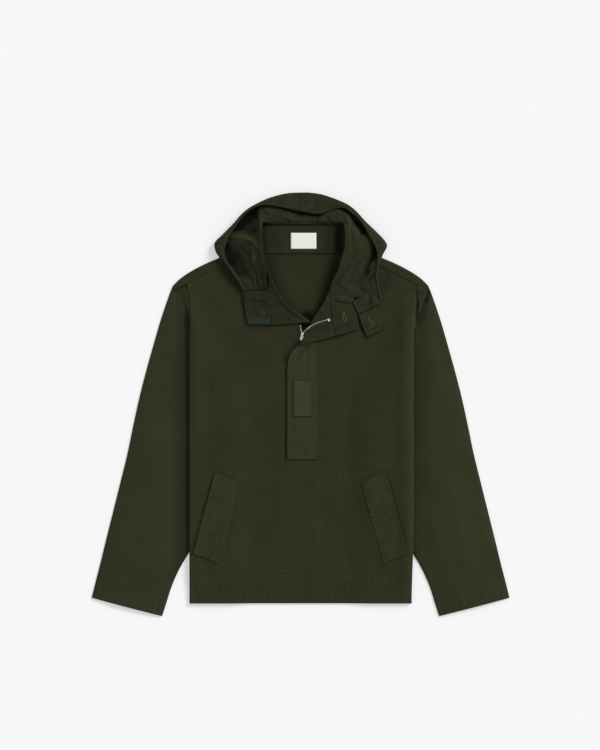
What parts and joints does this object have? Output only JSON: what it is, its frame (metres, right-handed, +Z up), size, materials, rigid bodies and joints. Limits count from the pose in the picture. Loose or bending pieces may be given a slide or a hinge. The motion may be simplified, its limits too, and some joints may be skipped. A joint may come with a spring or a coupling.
{
  "type": "anorak smock",
  "caption": "Hooded pullover smock of woven cotton laid flat, with a half zip under a placket, turned-out collar flaps and slanted pouch pocket welts",
  "frame": {"origin": "centre of the bounding box on the surface that the smock lies on", "axes": "+X towards the wearer's left, +Y from the hem to the hood, +Z up off the surface, out of the front"},
  "size_m": [0.8354, 0.8457, 0.0287],
  "materials": {
    "olive_cloth": "matt dense woven cotton, dark olive",
    "inside_cloth": "inside face of the same cotton",
    "teal_tape": "narrow ribbed tape",
    "cream_label": "satin woven label, bare",
    "olive_label": "tone on tone woven patch, bare",
    "zip_metal": "plated zip metal"
  },
  "bodies": {
    "smock": {"front_body": "olive_cloth", "back_body": "olive_cloth", "back_shoulder_right": "olive_cloth", "back_shoulder_left": "olive_cloth", "sleeve_right": "olive_cloth", "sleeve_left": "olive_cloth", "hood_right": "olive_cloth", "hood_left": "olive_cloth", "back_neck_band": "inside_cloth", "neck_label": "cream_label", "placket_flap": "olive_cloth", "placket_label": "olive_label", "neck_facing_right": "inside_cloth", "collar_right": "inside_cloth", "tape_upper": "teal_tape", "tape_lower": "teal_tape", "neck_facing_left": "inside_cloth", "collar_left": "inside_cloth", "throat_strap": "olive_cloth", "throat_tab": "olive_cloth", "pocket_welt_right": "olive_cloth", "pocket_welt_left": "olive_cloth", "zip_chain": "zip_metal", "zip_side_left": "zip_metal", "zip_side_right": "zip_metal", "zip_end_stop": "zip_metal", "zip_slider": "zip_metal"},
    "pull_tab": {"zip_pull": "zip_metal"}
  },
  "joints": [
    {"name": "pull_hinge", "type": "hinge", "parent": "smock", "child": "pull_tab", "pos_m": [0.0034, 0.1405, 0.0084], "axis": [-0.9397, 0.342, 0], "range_deg": [0, 130]}
  ]
}
